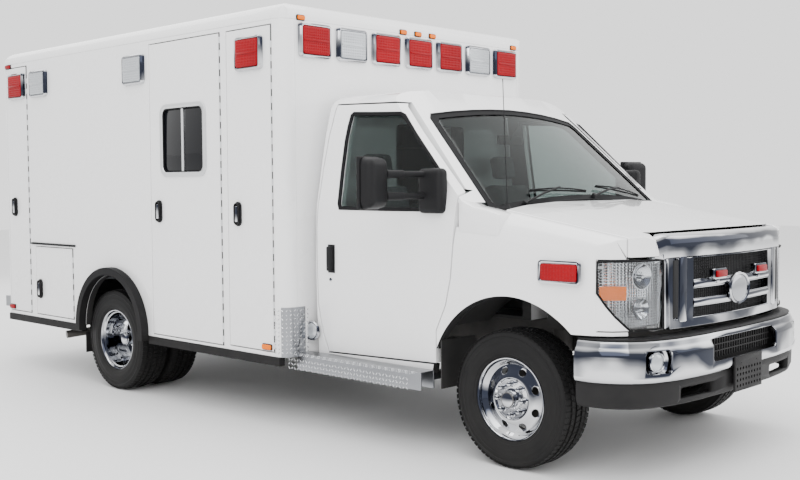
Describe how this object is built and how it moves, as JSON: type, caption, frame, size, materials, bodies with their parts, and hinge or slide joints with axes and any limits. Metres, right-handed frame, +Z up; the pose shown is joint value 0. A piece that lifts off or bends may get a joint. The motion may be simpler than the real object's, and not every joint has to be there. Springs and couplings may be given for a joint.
{
  "type": "box ambulance",
  "caption": "White box ambulance on a cutaway van chassis with twin rear wheels, opening doors, lockers and hood, steering front wheels and warning lamps.",
  "frame": {"origin": "on the floor, under the middle of the vehicle's box", "axes": "+Z up, -Y is the front, so its right side is -X"},
  "size_m": [2.8688, 6.307, 2.615],
  "materials": {
    "chassis_black": "satin",
    "engine_grey": "as cast",
    "exhaust_steel": "dull",
    "tank_black": "matte",
    "cab_white": "gloss",
    "box_white": "gloss",
    "screen_glass": "clear",
    "door_glass": "lightly tinted",
    "dark_glass": "dark tint",
    "cab_trim": "grained",
    "seat_grey": "woven",
    "grille_chrome": "polished",
    "lamp_clear": "clear",
    "lamp_red": "clear red",
    "bumper_chrome": "polished",
    "tread_plate": "tread pattern",
    "floor_grey": "sheet flooring",
    "trim_rubber": "satin",
    "cabinet_white": "satin",
    "bench_blue": "grained vinyl",
    "mirror_black": "grained",
    "wheel_chrome": "polished",
    "tyre_black": "new"
  },
  "bodies": {
    "root": {"chassis_frame": "chassis_black", "front_axle": "chassis_black", "rear_axle": "chassis_black", "drivetrain": "engine_grey", "exhaust": "exhaust_steel", "fuel_tank": "tank_black", "cab_shell": "cab_white", "front_fenders": "cab_white", "windshield": "screen_glass", "dashboard": "cab_trim", "cab_seats": "seat_grey", "grille": "grille_chrome", "headlamps": "lamp_clear", "warning_lamps": "lamp_red", "front_bumper": "bumper_chrome", "running_boards": "tread_plate", "box_floor": "floor_grey", "box_roof": "box_white", "box_side_right": "box_white", "box_side_left": "box_white", "box_front": "box_white", "box_rear": "box_white", "rear_step": "tread_plate", "rub_rails": "trim_rubber", "interior_cabinets": "cabinet_white", "bench_cushion": "bench_blue"},
    "hood": {"hood": "cab_white"},
    "cab_door_right": {"cab_door_right": "cab_white", "cab_glass_right": "door_glass", "mirror_right": "mirror_black"},
    "cab_door_left": {"cab_door_left": "cab_white", "cab_glass_left": "door_glass", "mirror_left": "mirror_black"},
    "side_door": {"side_door": "box_white", "side_door_window": "dark_glass"},
    "rear_door_right": {"rear_door_right": "box_white", "rear_window_right": "dark_glass"},
    "rear_door_left": {"rear_door_left": "box_white", "rear_window_left": "dark_glass"},
    "locker_front_right": {"locker_front_right": "box_white"},
    "locker_low_right": {"locker_low_right": "box_white"},
    "locker_rear_right": {"locker_rear_right": "box_white"},
    "locker_front_left": {"locker_front_left": "box_white"},
    "locker_mid_left": {"locker_mid_left": "box_white"},
    "locker_rear_left": {"locker_rear_left": "box_white"},
    "knuckle_right": {"knuckle_right": "chassis_black"},
    "knuckle_left": {"knuckle_left": "chassis_black"},
    "wheel_front_right": {"rim_front_right": "wheel_chrome", "tyre_front_right": "tyre_black"},
    "wheel_front_left": {"rim_front_left": "wheel_chrome", "tyre_front_left": "tyre_black"},
    "wheel_rear_right": {"rim_rear_right": "wheel_chrome", "tyre_rear_right": "tyre_black"},
    "wheel_rear_left": {"rim_rear_left": "wheel_chrome", "tyre_rear_left": "tyre_black"},
    "steering_wheel": {"steering_wheel": "cab_trim"}
  },
  "joints": [
    {"name": "spin_front_right", "type": "hinge", "parent": "knuckle_right", "child": "wheel_front_right", "pos_m": [-0.882, -2.2965, 0.37], "axis": [1, 0, 0], "continuous": true},
    {"name": "spin_front_left", "type": "hinge", "parent": "knuckle_left", "child": "wheel_front_left", "pos_m": [0.882, -2.2965, 0.37], "axis": [1, 0, 0], "continuous": true},
    {"name": "spin_rear_right", "type": "hinge", "parent": "root", "child": "wheel_rear_right", "pos_m": [-0.961, 1.2085, 0.37], "axis": [1, 0, 0], "continuous": true},
    {"name": "spin_rear_left", "type": "hinge", "parent": "root", "child": "wheel_rear_left", "pos_m": [0.961, 1.2085, 0.37], "axis": [1, 0, 0], "continuous": true},
    {"name": "steer_right", "type": "hinge", "parent": "root", "child": "knuckle_right", "pos_m": [-0.8, -2.2965, 0.37], "axis": [0, 0, 1], "range_deg": [-33, 33]},
    {"name": "steer_left", "type": "hinge", "parent": "root", "child": "knuckle_left", "pos_m": [0.8, -2.2965, 0.37], "axis": [0, 0, 1], "range_deg": [-33, 33]},
    {"name": "steering_wheel_turn", "type": "hinge", "parent": "root", "child": "steering_wheel", "pos_m": [0.43, -1.6965, 1.24], "axis": [0, 0.8659, 0.5003], "range_deg": [-535, 535]},
    {"name": "hood_lid", "type": "hinge", "parent": "root", "child": "hood", "pos_m": [0, -2.1745, 1.403], "axis": [-1, 0, 0], "range_deg": [0, 48]},
    {"name": "cab_door_right_swing", "type": "hinge", "parent": "root", "child": "cab_door_right", "pos_m": [-1.006, -1.9505, 1.2], "axis": [0, 0, 1], "range_deg": [0, 65]},
    {"name": "cab_door_left_swing", "type": "hinge", "parent": "root", "child": "cab_door_left", "pos_m": [1.006, -1.9505, 1.2], "axis": [0, 0, -1], "range_deg": [0, 65]},
    {"name": "side_door_swing", "type": "hinge", "parent": "root", "child": "side_door", "pos_m": [-1.21, -0.1255, 1.2], "axis": [0, 0, 1], "range_deg": [0, 90]},
    {"name": "rear_door_right_swing", "type": "hinge", "parent": "root", "child": "rear_door_right", "pos_m": [-0.637, 2.8585, 1.2], "axis": [0, 0, 1], "range_deg": [0, 100]},
    {"name": "rear_door_left_swing", "type": "hinge", "parent": "root", "child": "rear_door_left", "pos_m": [0.637, 2.8585, 1.2], "axis": [0, 0, -1], "range_deg": [0, 100]},
    {"name": "locker_front_right_swing", "type": "hinge", "parent": "root", "child": "locker_front_right", "pos_m": [-1.21, -0.6455, 1.2], "axis": [0, 0, 1], "range_deg": [0, 95]},
    {"name": "locker_low_right_swing", "type": "hinge", "parent": "root", "child": "locker_low_right", "pos_m": [-1.21, 1.7875, 0.75], "axis": [0, 0, 1], "range_deg": [0, 95]},
    {"name": "locker_rear_right_swing", "type": "hinge", "parent": "root", "child": "locker_rear_right", "pos_m": [-1.21, 2.4685, 1.2], "axis": [0, 0, 1], "range_deg": [0, 95]},
    {"name": "locker_front_left_swing", "type": "hinge", "parent": "root", "child": "locker_front_left", "pos_m": [1.21, -0.6455, 1.2], "axis": [0, 0, -1], "range_deg": [0, 95]},
    {"name": "locker_mid_left_swing", "type": "hinge", "parent": "root", "child": "locker_mid_left", "pos_m": [1.21, -0.1255, 0.8], "axis": [0, 0, -1], "range_deg": [0, 95]},
    {"name": "locker_rear_left_swing", "type": "hinge", "parent": "root", "child": "locker_rear_left", "pos_m": [1.21, 2.4685, 1.2], "axis": [0, 0, -1], "range_deg": [0, 95]}
  ],
  "couplings": [
    {"joint": "steer_left", "follows": "steer_right", "ratio": 1},
    {"joint": "steering_wheel_turn", "follows": "steer_right", "ratio": 16}
  ]
}
